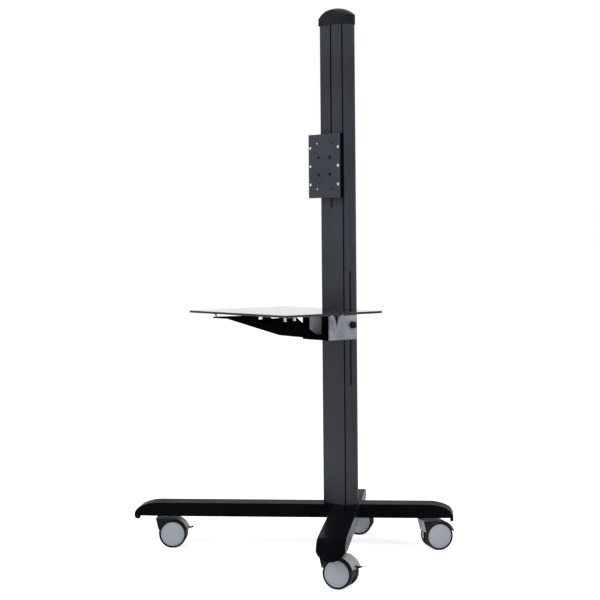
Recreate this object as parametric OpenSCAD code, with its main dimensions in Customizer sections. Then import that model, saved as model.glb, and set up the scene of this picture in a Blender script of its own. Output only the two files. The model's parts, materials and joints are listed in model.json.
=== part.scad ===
// Mobile screen stand: a tall extruded column on an X shaped base with four
// twin wheel casters, a sliding screen plate and a sliding glass shelf.

/* [Base] */
// Height of the leg tops above the floor
leg_top_z = 166; // [150:1:220]
// Height of one leg channel
leg_h = 48.5; // [40:0.5:60]
// Width of one leg channel
leg_w = 94; // [88:1:110]
// Sheet thickness of the legs
leg_t = 3; // [2:0.5:4]
// Centre of the base to the tip of a front leg
front_tip = 772; // [650:1:900]
// Centre of the base to the tip of a back leg
back_tip = 381; // [340:1:480]
// Length of the curved nose at the end of a leg
nose_l = 86; // [80:1:100]
// Radius of the nose's profile at the tip
nose_tip_r = 40; // [36:1:44]
// Height of the nose's profile
nose_h = 50; // [48:1:52]
// Length over which the walls turn in towards the tip
bow_l = 132; // [115:1:140]
// Radius of a leg's round underside at its end
bow_r = 50; // [49:1:54]
// Depth of the lip that hangs below the walls at the tip
lip_h = 16; // [6:1:18]
// Length of that lip along the leg
lip_l = 11; // [6:1:20]
// Distance of the base's centre behind the column's centre
base_back = 26; // [18:1:30]

/* [Hub] */
// Thickness of the hub plate inside the legs
hub_t = 10; // [8:1:14]
// Centre of the base to the end of a hub plate arm
hub_arm = 150; // [135:1:180]
// Gap between a hub plate arm and a leg wall
hub_gap = 2; // [1:0.5:4]
// Centre of the base to a pair of leg bolts
leg_bolt_at = 120; // [100:1:130]
// Leg bolts to the leg's centre line
leg_bolt_side = 22; // [16:1:30]
// Radius of a leg or column bolt
base_bolt_r = 4; // [3:0.5:5]
// Radius of the threaded boss for a leg bolt
leg_boss_r = 9; // [8:0.5:10]
// Height of that boss
leg_boss_h = 8; // [6:0.5:8]

/* [Casters] */
// Radius of a caster wheel
wheel_r = 50; // [40:1:52]
// Width of one wheel of the pair
wheel_w = 25; // [18:1:30]
// Space between the two wheels of a caster
wheel_gap = 22; // [20:1:30]
// Rounding of the tyre's shoulders
tyre_round = 3; // [1:0.5:3]
// Radius of the wheel core inside the tyre
core_r = 43; // [34:1:44]
// Swivel axis to wheel axle, measured level
trail = 26; // [20:1:32]
// Swivel axis of a front caster to the centre of the base
front_stem = 661; // [560:1:670]
// Swivel axis of a back caster to the centre of the base
back_stem = 296; // [250:1:298]
// Gap between tyre and hood
hood_gap = 2.5; // [1.5:0.5:4]
// Thickness of the hood over the tyre
hood_t = 4.5; // [3:0.5:5]
// Swivel axis to the hood's front edge
hood_front = 35; // [30:1:45]
// Height of the hood's lower edges above the wheel axle
hood_low = 16; // [12:1:20]
// Radius of the axle
axle_r = 5; // [4:0.5:6]
// Radius of the stem where it turns in the hood
stem_r = 5; // [4:0.5:6]
// Radius of the stem's threaded end
stud_r = 6; // [5:0.5:8]
// Radius of the stem's collar
collar_r = 8.5; // [8:0.5:11]
// Length of stem inside the hood
stem_in = 31; // [24:1:34]
// Side of the threaded block that holds a stem
block_w = 50; // [36:1:60]
// Height of that block
block_h = 20; // [14:1:26]
// Length of a brake lever from its pin to its tip
lever_l = 18.6; // [15:0.1:18.9]
// Half the width of a brake lever
lever_half = 10; // [8:0.5:10.5]
// Thickness of a brake lever
lever_t = 4; // [3:0.5:4]
// Radius of a brake lever's pin
lever_pin_r = 2.2; // [1.8:0.1:2.4]
// Angle of a brake lever above level, released
lever_up = 12; // [5:1:18]

/* [Column] */
// Width of the column
column_w = 124; // [118:1:140]
// Depth of the column
column_d = 72; // [72:1:90]
// Length of the column extrusion
column_h = 1724; // [1500:1:2000]
// Wall thickness of the extrusion
column_t = 3.5; // [3:0.5:4]
// Radius of the column's back corners
column_round = 20; // [16:1:24]
// Width of the groove along a front corner
groove_w = 4.5; // [3:0.5:6]
// Depth of that groove
groove_h = 9; // [6:0.5:10]
// Depth of the chamber behind the front wall
chamber_d = 14; // [14:0.5:18]
// Radius of a screw port's hole
port_r = 3.4; // [3:0.1:3.6]
// Wall round a screw port
port_t = 4.1; // [4:0.1:5]
// Width of the slot in the front wall
front_slot_w = 7; // [7:0.5:9]
// Height of the front slot's lower end
front_slot_z = 1232; // [1050:1:1240]
// Width of a slot in a side wall
side_slot_w = 6.6; // [6.6:0.1:8]
// Height of a side slot's lower end
side_slot_low = 596; // [500:1:700]
// Height of a side slot's upper end
side_slot_high = 998; // [950:1:1100]
// Distance of the side slots in front of the column's centre
side_slot_y = 6; // [4:0.5:7]
// Width of the cable mouth in the back wall
mouth_w = 76; // [60:1:78]

/* [Cap] */
// Overhang of the cap past the column
cap_over = 2.3; // [2:0.1:4]
// Height of the cap from its lower edge to its corners
cap_corner_h = 24; // [16:1:40]
// Height of the cap from its lower edge to its crown
cap_h = 61; // [50:1:80]
// Depth of column inside the cap
cap_in = 6; // [4:1:12]
// Wall thickness of the cap
cap_t = 2; // [1.5:0.1:3]
// Length of the cap's pegs below the column's end
peg_l = 16; // [8:1:24]

/* [Screen plate] */
// Width of the screen plate
plate_w = 174; // [170:1:200]
// Height of the screen plate
plate_h = 228; // [210:1:300]
// Sheet thickness of the screen plate
plate_t = 2.5; // [2:0.1:3]
// Depth of the flanges along the plate's sides
plate_flange = 18; // [10:1:24]
// Height of the plate's centre above the floor
plate_z = 1377; // [1360:1:1600]
// Plate's front face to the column's front face
plate_out = 34; // [32:1:60]
// Spacing of the standard screen hole pattern
vesa = 100; // [100:1:110]
// Radius of the screen holes
vesa_r = 2.75; // [2:0.05:3]
// Half spacing of the tall hole pattern, across
tall_x = 41.5; // [36:0.5:48]
// Half spacing of the tall hole pattern, upright
tall_z = 81.5; // [80:0.5:90]
// Radius of the tall pattern's holes
tall_r = 3.5; // [2:0.5:4]
// Half spacing of the threaded inserts, across
insert_x = 76; // [72:0.5:78]
// Upright spacing of the threaded inserts
insert_z = 66; // [50:1:70]
// Flange radius of a threaded insert
insert_r = 4.5; // [4:0.5:6]
// Thread radius of an insert
insert_bore_r = 2.5; // [2:0.25:3]
// Half spacing of the screws that hold the plate
plate_screw = 30.5; // [26:0.5:34]
// Radius of those screws
plate_screw_r = 3; // [2.5:0.5:3]
// Width of the bracket's box
bracket_w = 80; // [76:1:90]
// Width of the bracket's front flanges
bracket_front_w = 116; // [114:1:130]
// Height of the bracket
bracket_h = 150; // [140:1:152]
// Wall thickness of the bracket
bracket_t = 3; // [2.5:0.5:4]
// Half spacing of the two slot bolts
slot_bolt_z = 55; // [45:1:62]
// Radius of a slot bolt or a knob's stud
slot_bolt_r = 3; // [2.5:0.1:3.1]

/* [Shelf] */
// Width of the glass
glass_w = 546; // [400:1:600]
// Depth of the glass
glass_d = 434; // [420:1:500]
// Thickness of the glass
glass_t = 8; // [6:1:12]
// Height of the glass's top face above the floor
glass_z = 867.5; // [800:0.5:900]
// Gap between the glass and the column
glass_gap = 4; // [2:0.5:12]
// Rounding of the glass's corners
glass_round = 8; // [4:1:20]
// Height of the clamp round the column
clamp_h = 85; // [70:1:90]
// Height of the posts between clamp and glass
post_h = 16.5; // [12:0.5:24]
// Radius of a post
post_r = 3.6; // [2.5:0.1:3.8]
// Thickness of the clamp's walls
clamp_t = 7.6; // [7.4:0.1:9]
// Reach of the clamp in front of the column
clamp_front = 80; // [60:1:90]
// Reach of the clamp's arms behind the column's front
clamp_back = 52; // [44:1:56]
// Radius of the clamp's front corners
clamp_round = 20; // [12:1:26]
// Width of the notch in an arm's top edge
notch_w = 22; // [10:1:28]
// Depth of that notch
notch_h = 40; // [20:1:50]
// Notch to the column's front face
notch_out = 40; // [36:1:44]
// Gap between clamp and column
clamp_gap = 0.4; // [0.3:0.1:1]
// Sheet thickness of the tray
tray_t = 2.5; // [2:0.1:3]
// Half the tray's width at its front
tray_front_half = 133; // [110:1:150]
// Half the tray's inner width at the clamp
tray_back_half = 38; // [32:1:44]
// Glass edge to the tray's front edge
tray_inset = 8; // [4:1:20]
// Gap between the tray's top and the glass
tray_drop = 9.5; // [6:0.5:12]
// Depth of the tray's walls at the front
tray_front_h = 5; // [4:0.5:10]
// Depth of the tray's walls at the knee
tray_knee_h = 73.5; // [50:0.5:76]
// Depth of the tray's walls at the clamp
tray_back_h = 87; // [78:0.5:90]
// Size of a glass rest along the tray wall
rest_l = 9; // [6:0.5:12]
// Height of a glass rest on the tray wall
rest_h = 23.5; // [20:0.5:28]
// Thickness of a glass rest
rest_t = 6; // [4:0.5:8]
// Radius of a clamp knob
knob_r = 12; // [9:0.5:16]
// Thickness of a clamp knob
knob_t = 14; // [10:1:20]
// Height of the knobs below the glass's top
knob_drop = 58; // [50:0.5:64]

/* [Hidden] */
$fn = 64;

// Running clearance of a shaft in its bore, the gap between loose faces, and the overrun of a cut
fit = 0.05;
loose = 0.3;
cut = 1;
// Head height as a share of a bolt's radius, and head radius as a share of it
head_h_share = 1.3;
head_r_share = 1.6;
// Groove circle of a wheel disc as a share of its core's radius
disc_groove_share = 0.8;
// Body of an insert as a share of its flange's radius
insert_body_share = 0.8;
// Circle of a knob's finger flutes as a share of its radius
flute_share = 1.15;
// Heights of the tray's bolts as shares of the clamp's height
tray_bolt_shares = [0.2, 0.8];

// Legs: place in the cycle front left, front right, back left, back right
leg_angles = [225, 315, 135, 45];
// The casters' resting directions, as the stand was last pushed
caster_yaws = [48, 27, 41, 65];
stems = [front_stem, front_stem, back_stem, back_stem];
tips = [front_tip, front_tip, back_tip, back_tip];
base_y = base_back;
leg_low_z = leg_top_z - leg_h;
leg_half = leg_w / 2;
function leg_point(i, along) = [along * cos(leg_angles[i]), base_y + along * sin(leg_angles[i])];

// Caster sizes that follow the wheel
pair_half = wheel_gap / 2 + wheel_w;
web_half = wheel_gap / 2 - cut;
// Length of axle inside one wheel
axle_in = wheel_w * 3 / 4;
hood_in_r = wheel_r + hood_gap;
hood_out_r = hood_in_r + hood_t;
hood_top_z = wheel_r + hood_out_r;
hood_end = trail + sqrt(pow(hood_out_r, 2) - pow(hood_low, 2));
lever_barrel_r = 2 * lever_pin_r;
lever_orbit = hood_in_r + lever_barrel_r - loose;
lever_angle = asin((hood_low + lever_pin_r) / lever_orbit);
lever_x = trail + lever_orbit * cos(lever_angle);
lever_z = wheel_r + lever_orbit * sin(lever_angle);
lever_tip = lever_x + lever_l;
lever_blade = (lever_l - lever_t / 2 * sin(lever_up)) / cos(lever_up);

// Reach of a nose, of a hood, of a tyre pair and of a lever from their own centres, in direction d
// The round underside's axis rises from the start of the bow to the tip
bow_start_z = leg_low_z - leg_t + sqrt(pow(bow_r, 2) - pow(leg_half, 2));
bow_tip_z = leg_low_z - lip_h + bow_r;
bow_tilt = atan2(bow_tip_z - bow_start_z, bow_l);
nose_low_z = leg_top_z - nose_h;
function nose_back(z) = nose_tip_r
    - sqrt(pow(nose_tip_r, 2) - pow(min(nose_tip_r, max(0, z - nose_low_z)), 2));
function nose_half(z) = min(leg_half, sqrt(pow(bow_r, 2) - pow(min(0, (z - bow_tip_z) * cos(bow_tilt)), 2)));
function nose_reach(i, d) = max([for (z = [leg_low_z:leg_top_z])
    (tips[i] - nose_back(z)) * cos(leg_angles[i] - d) + nose_half(z) * abs(sin(leg_angles[i] - d))]);
function hood_reach(yaw, d) = hood_end * cos(yaw - d) + pair_half * abs(sin(yaw - d));
function tyre_reach(yaw, d) = trail * cos(yaw - d) + (wheel_r - tyre_round) * abs(cos(yaw - d))
    + (pair_half - tyre_round) * abs(sin(yaw - d)) + tyre_round;
function lever_reach(yaw, d) = lever_tip * cos(yaw - d) + lever_half * abs(sin(yaw - d));
function caster_reach(i, d) = stems[i] * cos(leg_angles[i] - d)
    + max(hood_reach(caster_yaws[i], d), tyre_reach(caster_yaws[i], d),
          i < 2 ? lever_reach(caster_yaws[i], d) : 0);
function base_reach(d) = max([for (i = [0:3]) max(nose_reach(i, d), caster_reach(i, d))]);
// The origin lies on the floor, under the middle of everything
shift = [(base_reach(180) - base_reach(0)) / 2,
         (base_reach(270) - base_reach(90)) / 2 - base_y, 0];

// Column
front_y = -column_d / 2;
side_x = column_w / 2;
column_top_z = leg_top_z + column_h;
web_y = front_y + column_t + chamber_d;
port_boss_r = port_r + port_t;
port_front = [side_x - 2 * port_boss_r - cut, front_y + column_t + chamber_d / 2];
port_back = [side_x - column_t - port_boss_r - cut, column_d / 2 - column_t - port_boss_r - 2 * cut];
ports = [port_front, [-port_front[0], port_front[1]], port_back, [-port_back[0], port_back[1]]];
cap_low_z = column_top_z - cap_in;
// Sphere that gives the cap its crown
cap_corner = norm([side_x + cap_over, column_d / 2 + cap_over]);
cap_rise = cap_h - cap_corner_h;
cap_ball_r = (pow(cap_corner, 2) + pow(cap_rise, 2)) / (2 * cap_rise);

// Screen plate
plate_y = front_y - plate_out;
bracket_y = plate_y + plate_t;
slot_bolt_l = bracket_t + column_t + chamber_d / 2;
nut_t = chamber_d / 3;

// Shelf
glass_low_z = glass_z - glass_t;
glass_back_y = front_y - glass_gap;
glass_front_y = glass_back_y - glass_d;
clamp_top_z = glass_low_z - post_h;
clamp_low_z = clamp_top_z - clamp_h;
clamp_in_x = side_x + clamp_gap;
clamp_out_x = clamp_in_x + clamp_t;
clamp_front_y = front_y - clamp_front;
clamp_back_y = front_y + clamp_back;
knob_z = glass_z - knob_drop;
knob_y = -side_slot_y;
tray_top_z = glass_low_z - tray_drop;
tray_front_y = glass_front_y + tray_inset;
tray_back_y = clamp_front_y - tray_t;
tray_run = [tray_back_half - tray_front_half, tray_back_y - tray_front_y];
tray_l = norm(tray_run);
tray_turn = atan2(tray_run[1], tray_run[0]);
// Shares of the tray wall's length: end of the flat front, knee, end of the level top,
// point on its falling edge, and its foot
front_share = 0.1;
knee_share = 0.69;
level_share = 0.55;
fall_share = 0.73;
foot_share = 0.94;
// Shares of the tray wall's length at which the glass rests sit
rest_shares = [0.346, 0.5];
wall_front_low = tray_top_z - tray_front_h;
wall_knee_low = tray_top_z - tray_knee_h;
wall_back_low = tray_top_z - tray_back_h;

module placed() { translate(shift) children(); }
module at_leg(i) { translate([0, base_y, 0]) rotate([0, 0, leg_angles[i]]) children(); }
module at_caster(i) {
    translate([leg_point(i, stems[i])[0], leg_point(i, stems[i])[1], 0])
        rotate([0, 0, caster_yaws[i]]) children();
}
module both_sides() { children(); mirror([1, 0, 0]) children(); }
// A rod along Y through the point [x, z], and a rod along X through the point [y, z]
module rod_y(at, r, from, to) {
    translate([at[0], to, at[1]]) rotate([90, 0, 0]) cylinder(r = r, h = to - from);
}
module rod_x(at, r, from, to) {
    translate([from, at[0], at[1]]) rotate([0, 90, 0]) cylinder(r = r, h = to - from);
}
// A block between two corners
module span(low, high) { translate(low) cube(high - low); }
// A leg's side view, set in by a wall thickness: two arcs in line form the nose
module side_profile(from, tip, low, inset) {
    nose_start = tip - nose_l;
    tip_centre = [tip - nose_tip_r, nose_low_z];
    run = nose_l - nose_tip_r;
    drop = nose_h;
    long_r = (pow(run, 2) + pow(drop, 2) - pow(nose_tip_r, 2)) / (2 * (drop - nose_tip_r));
    long_centre = [nose_start, leg_top_z - long_r];
    slope = (tip_centre - long_centre) / norm(tip_centre - long_centre);
    top = leg_top_z - inset;
    difference() {
        translate([from, low]) square([tip - inset - from, top - low]);
        difference() {
            translate([nose_start, long_centre[1]]) square([nose_l + cut, long_r + cut]);
            translate(long_centre) circle(r = long_r - inset, $fn = 360);
            polygon([long_centre, long_centre + 2 * long_r * slope, long_centre + [2 * long_r, 0]]);
        }
        difference() {
            polygon([tip_centre, tip_centre + (nose_tip_r - inset) * slope,
                     tip_centre + 2 * long_r * slope - [cut, 0], tip_centre + [2 * long_r, 0]]);
            translate(tip_centre) circle(r = nose_tip_r - inset, $fn = 120);
        }
    }
}

// What is taken off below a leg's end to leave its round underside, which rises towards the tip
module bow_cut(tip, inset) {
    difference() {
        span([tip - bow_l, -leg_w, 0], [tip + cut, leg_w, leg_top_z - leg_t - cut]);
        translate([tip - bow_l, 0, bow_start_z]) rotate([0, -bow_tilt, 0]) rotate([90, 0, 90])
            translate([0, 0, -bow_l]) linear_extrude(height = 3 * bow_l) {
                circle(r = bow_r - inset, $fn = 120);
                translate([-2 * leg_w, 0]) square([4 * leg_w, 2 * leg_w]);
            }
    }
}

// One leg channel as a solid form, set in by a wall thickness
module leg_form(from, tip, inset) {
    half = leg_half - inset;
    start = inset > 0 ? from - cut : from;
    difference() {
        rotate([90, 0, 0]) linear_extrude(height = 2 * half, center = true)
            side_profile(start, tip, leg_low_z - leg_half, inset);
        bow_cut(tip, inset);
    }
}

module leg_shell(from, tip, stem) {
    under = leg_top_z - leg_t;
    difference() {
        union() {
            difference() {
                leg_form(from, tip, 0);
                leg_form(from, tip, leg_t);
                span([from - cut, -leg_w, 0], [tip - lip_l, leg_w, leg_low_z]);
            }
            span([stem - block_w / 2, -block_w / 2, under - block_h],
                 [stem + block_w / 2, block_w / 2, under]);
            for (side = [-1, 1]) translate([leg_bolt_at, side * leg_bolt_side, under - leg_boss_h])
                cylinder(r = leg_boss_r, h = leg_boss_h);
        }
        translate([stem, 0, under - block_h - cut]) cylinder(r = stud_r + fit, h = block_h + cut);
        for (side = [-1, 1]) translate([leg_bolt_at, side * leg_bolt_side, under - leg_boss_h - cut])
            cylinder(r = base_bolt_r + fit, h = leg_boss_h + cut);
    }
}

module column_bolt_holes(r) {
    for (p = ports) translate([p[0], p[1], 0]) cylinder(r = r, h = leg_top_z + cut);
}

module base_crossbar() {
    color("#0c0d10") placed() difference() {
        union() {
            at_leg(0) leg_shell(-cut, front_tip, front_stem);
            at_leg(3) leg_shell(-cut, back_tip, back_stem);
        }
        at_leg(0) span([-leg_half, -leg_w, leg_top_z - leg_t - hub_t - cut],
                       [leg_half, leg_w, leg_top_z - leg_t]);
        column_bolt_holes(base_bolt_r + loose);
    }
}

module base_front_leg() {
    color("#0c0d10") placed() difference() {
        at_leg(1) leg_shell(leg_half, front_tip, front_stem);
        column_bolt_holes(base_bolt_r + loose);
    }
}

module base_back_leg() {
    color("#0c0d10") placed() difference() {
        at_leg(2) leg_shell(leg_half, back_tip, back_stem);
        column_bolt_holes(base_bolt_r + loose);
    }
}

module hub_plate() {
    half = leg_half - leg_t - hub_gap;
    low = leg_top_z - leg_t - hub_t;
    color("#5c5f66") placed() difference() {
        for (i = [0:3]) at_leg(i) span([0, -half, low], [hub_arm, half, low + hub_t]);
        column_bolt_holes(base_bolt_r + loose);
        for (i = [0:3]) at_leg(i) for (side = [-1, 1]) translate([leg_bolt_at, side * leg_bolt_side, 0]) {
            translate([0, 0, low - cut]) cylinder(r = base_bolt_r + loose, h = hub_t + 2 * cut);
            translate([0, 0, low + hub_t - leg_boss_h - loose])
                cylinder(r = leg_boss_r + loose, h = leg_boss_h + cut);
        }
    }
}

// A cap screw standing on its head: the head's seat is at z = 0 and the shank points up
module bolt(r, shank) {
    head_h = r * head_h_share;
    translate([0, 0, -head_h]) cylinder(r = r * head_r_share, h = head_h);
    cylinder(r = r, h = shank);
}

module leg_bolts() {
    low = leg_top_z - leg_t - hub_t;
    color("#8d9096") placed() for (i = [0:3]) at_leg(i) for (side = [-1, 1])
        translate([leg_bolt_at, side * leg_bolt_side, low]) bolt(base_bolt_r, hub_t - loose);
}

module column_bolts() {
    low = leg_top_z - leg_t - hub_t;
    color("#8d9096") placed() for (p = ports) translate([p[0], p[1], low]) {
        bolt(base_bolt_r, leg_top_z - low - loose);
        cylinder(r = port_r - fit, h = leg_top_z - low + 3 * hub_t);
    }
}

// Casters, drawn with the swivel axis at x = 0 and the wheels trailing along +X
module caster_stems() {
    collar_low = hood_top_z + loose;
    block_z = leg_top_z - leg_t - block_h;
    color("#b9bcc2") placed() for (i = [0:3]) at_caster(i) {
        translate([0, 0, hood_top_z - stem_in]) cylinder(r = stem_r, h = stem_in + cut);
        translate([0, 0, collar_low]) cylinder(r = collar_r, h = block_z - collar_low);
        translate([0, 0, block_z]) cylinder(r = stud_r, h = block_h - loose);
    }
}

module hood_outline() {
    low = wheel_r + hood_low;
    lean = hood_gap + hood_t + stem_r / 2;
    polygon([[-hood_front, hood_top_z], [-hood_front + lean, low], [trail, low], [trail, hood_top_z]]);
    intersection() {
        translate([trail, wheel_r]) circle(r = hood_out_r, $fn = 120);
        translate([trail - cut, low]) square([hood_out_r + cut, hood_out_r]);
    }
}

module caster_hood(i) {
    braked = i < 2;
    color("#a9adad") placed() at_caster(i) difference() {
        union() {
            difference() {
                rotate([90, 0, 0]) linear_extrude(height = 2 * pair_half, center = true) hood_outline();
                rod_y([trail, wheel_r], hood_in_r, -pair_half - cut, pair_half + cut);
            }
            difference() {
                rod_y([trail, wheel_r], hood_in_r + cut, -web_half, web_half);
                span([-wheel_r, -wheel_r, -wheel_r], [3 * wheel_r, wheel_r, wheel_r - 2 * axle_r]);
            }
            if (braked) for (side = [-1, 1])
                rod_y([lever_x, lever_z], lever_barrel_r,
                      min(side * (lever_half + loose), side * (lever_half + loose + lever_t)),
                      max(side * (lever_half + loose), side * (lever_half + loose + lever_t)));
        }
        rod_y([trail, wheel_r], axle_r + fit, -pair_half, pair_half);
        translate([0, 0, hood_top_z - stem_in - loose]) cylinder(r = stem_r + fit, h = stem_in + cut);
        if (braked) difference() {
            span([lever_x - lever_barrel_r - cut, -lever_half - loose, 0],
                 [lever_tip, lever_half + loose, lever_z + lever_barrel_r + 2 * cut]);
            rod_y([lever_x, lever_z], lever_pin_r, -lever_half - cut, lever_half + cut);
        }
    }
    if (braked) color("#a9adad") placed() at_caster(i)
        rod_y([lever_x, lever_z], lever_pin_r, -lever_half - loose - cut, lever_half + loose + cut);
}

module caster_axle(i) {
    color("#b9bcc2") placed() at_caster(i)
        rod_y([trail, wheel_r], axle_r, -wheel_gap / 2 - axle_in, wheel_gap / 2 + axle_in);
}

module caster_wheels(i) {
    color("#9ea2a8") placed() at_caster(i) for (side = [0, 1]) mirror([0, side, 0])
        translate([trail, wheel_gap / 2, wheel_r]) rotate([-90, 0, 0]) rotate_extrude($fn = 120)
            difference() {
                square([core_r, wheel_w]);
                translate([0, -cut]) square([axle_r + fit, axle_in + loose + cut]);
                translate([core_r * disc_groove_share, wheel_w - tyre_round / 4])
                    square([tyre_round / 2, tyre_round]);
            }
}

module caster_tyres(i) {
    ring = wheel_r - core_r;
    color("#101113") placed() at_caster(i) for (side = [0, 1]) mirror([0, side, 0])
        translate([trail, wheel_gap / 2, wheel_r]) rotate([-90, 0, 0]) rotate_extrude($fn = 120) {
            translate([core_r + fit, 0]) square([ring - tyre_round - fit, wheel_w]);
            translate([core_r + fit, tyre_round]) square([ring - fit, wheel_w - 2 * tyre_round]);
            for (y = [tyre_round, wheel_w - tyre_round]) translate([wheel_r - tyre_round, y])
                circle(r = tyre_round);
        }
}

module brake_lever(i) {
    color("#17181a") placed() at_caster(i) translate([lever_x, 0, lever_z]) rotate([90, 0, 0])
        linear_extrude(height = 2 * lever_half, center = true) difference() {
            union() {
                rotate(180) circle(r = lever_barrel_r - loose);
                rotate(lever_up) translate([lever_pin_r + fit + cut / 2, -lever_t / 2])
                    square([lever_blade - lever_pin_r - fit - cut / 2, lever_t]);
            }
            circle(r = lever_pin_r + fit);
        }
}

module front_left_hood() { caster_hood(0); }
module front_right_hood() { caster_hood(1); }
module back_left_hood() { caster_hood(2); }
module back_right_hood() { caster_hood(3); }
module front_left_axle() { caster_axle(0); }
module front_right_axle() { caster_axle(1); }
module back_left_axle() { caster_axle(2); }
module back_right_axle() { caster_axle(3); }
module front_left_wheels() { caster_wheels(0); }
module front_right_wheels() { caster_wheels(1); }
module back_left_wheels() { caster_wheels(2); }
module back_right_wheels() { caster_wheels(3); }
module front_left_tyres() { caster_tyres(0); }
module front_right_tyres() { caster_tyres(1); }
module back_left_tyres() { caster_tyres(2); }
module back_right_tyres() { caster_tyres(3); }
module front_left_brake_lever() { brake_lever(0); }
module front_right_brake_lever() { brake_lever(1); }

// The column's outline, grown by a distance; its back corners are round
module column_outline(grow) {
    x = side_x + grow;
    y = column_d / 2 + grow;
    r = column_round + grow;
    translate([-x, -y]) square([2 * x, 2 * y - r]);
    translate([-x + r, -y]) square([2 * (x - r), 2 * y]);
    for (side = [-1, 1]) translate([side * (x - r), y - r]) circle(r = r);
}

module column_section() {
    inner_x = side_x - column_t;
    difference() {
        union() {
            difference() {
                column_outline(0);
                translate([-inner_x, front_y + column_t]) square([2 * inner_x, chamber_d]);
                intersection() {
                    column_outline(-column_t);
                    translate([-inner_x, web_y + column_t]) square([2 * inner_x, column_d]);
                }
            }
            for (p = ports) translate(p) circle(r = port_boss_r);
            for (side = [-1, 1]) translate([side * side_x, front_y]) rotate(-side * 45)
                translate([-groove_w / 2 - column_t, 0])
                    square([groove_w + 2 * column_t, groove_h + column_t]);
        }
        for (p = ports) translate(p) circle(r = port_r);
        for (side = [-1, 1]) translate([side * side_x, front_y]) rotate(side * 45)
            translate([-groove_w / 2, -groove_h]) square([groove_w, 2 * groove_h]);
        translate([-mouth_w / 2, column_d / 2 - column_t - cut]) square([mouth_w, column_t + 2 * cut]);
        // Keep the corner stiffeners inside the outline
        difference() {
            square(2 * column_w, center = true);
            column_outline(0);
        }
    }
}

module column_extrusion() {
    color("#353a41") placed() difference() {
        translate([0, 0, leg_top_z]) linear_extrude(height = column_h) column_section();
        span([-front_slot_w / 2, front_y - cut, front_slot_z],
             [front_slot_w / 2, front_y + column_t + cut, column_top_z + cut]);
        rod_y([0, front_slot_z], front_slot_w / 2, front_y - cut, front_y + column_t + cut);
        both_sides() {
            span([side_x - column_t - cut, knob_y - side_slot_w / 2, side_slot_low],
                 [side_x + cut, knob_y + side_slot_w / 2, side_slot_high]);
            for (z = [side_slot_low, side_slot_high])
                rod_x([knob_y, z], side_slot_w / 2, side_x - column_t - cut, side_x + cut);
        }
    }
}

module rear_cable_cover() {
    half = mouth_w / 2 - loose;
    wall_in = column_d / 2 - column_t;
    hook = column_t / 2;
    color("#2a2e34") placed() translate([0, 0, leg_top_z + loose])
    linear_extrude(height = column_h - 2 * loose) {
        translate([-half, wall_in]) square([2 * half, column_t]);
        for (side = [0, 1]) mirror([side, 0]) {
            translate([half - hook, wall_in - 2 * column_t]) square([hook, 2 * column_t + hook]);
            translate([half - cut, wall_in - column_t - loose]) square([hook + cut, column_t]);
        }
    }
}

module cap_form(grow, low, high, ball) {
    intersection() {
        translate([0, 0, low]) linear_extrude(height = high - low) column_outline(grow);
        translate([0, 0, cap_low_z + cap_h - cap_ball_r]) sphere(r = ball, $fn = 128);
    }
}

module column_cap() {
    color("#22262b") placed() {
        difference() {
            cap_form(cap_over, cap_low_z, cap_low_z + cap_h, cap_ball_r);
            translate([0, 0, cap_low_z - cut]) linear_extrude(height = cap_in + cut) column_outline(loose);
            cap_form(-column_t, cap_low_z + cap_in - cut, cap_low_z + cap_h, cap_ball_r - cap_t);
        }
        for (p = ports) translate([p[0], p[1], column_top_z - peg_l]) intersection() {
            cylinder(r = port_r - loose, h = peg_l + cap_h);
            translate([-p[0], -p[1], cap_low_z + cap_h - cap_ball_r - column_top_z + peg_l])
                sphere(r = cap_ball_r - cap_t / 2, $fn = 128);
        }
    }
}

// Screen plate and the bracket that slides on the column
module screen_plate() {
    low = [-plate_w / 2, plate_y, plate_z - plate_h / 2];
    high = [plate_w / 2, plate_y + plate_t, plate_z + plate_h / 2];
    color("#3f4147") placed() difference() {
        union() {
            span(low, high);
            both_sides() span([plate_w / 2 - plate_t, plate_y, low[2]],
                              [plate_w / 2, plate_y + plate_flange, high[2]]);
        }
        for (x = [-1, 1], z = [-1, 1]) {
            rod_y([x * vesa / 2, plate_z + z * vesa / 2], vesa_r, plate_y - cut, plate_y + plate_t + cut);
            rod_y([x * tall_x, plate_z + z * tall_z], tall_r, plate_y - cut, plate_y + plate_t + cut);
            rod_y([x * plate_screw, plate_z + z * plate_screw], plate_screw_r + loose,
                  plate_y - cut, plate_y + plate_t + cut);
        }
        for (x = [-1, 1], z = [-1:1])
            rod_y([x * insert_x, plate_z + z * insert_z], insert_r * insert_body_share + fit,
                  plate_y - cut, plate_y + plate_t + cut);
    }
}

module plate_inserts() {
    color("#d9dce0") placed() for (x = [-1, 1], z = [-1:1]) difference() {
        union() {
            rod_y([x * insert_x, plate_z + z * insert_z], insert_r, plate_y - plate_t / 2, plate_y);
            rod_y([x * insert_x, plate_z + z * insert_z], insert_r * insert_body_share,
                  plate_y - cut, plate_y + 3 * plate_t);
        }
        rod_y([x * insert_x, plate_z + z * insert_z], insert_bore_r,
              plate_y - 2 * plate_t, plate_y + 4 * plate_t);
    }
}

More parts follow.
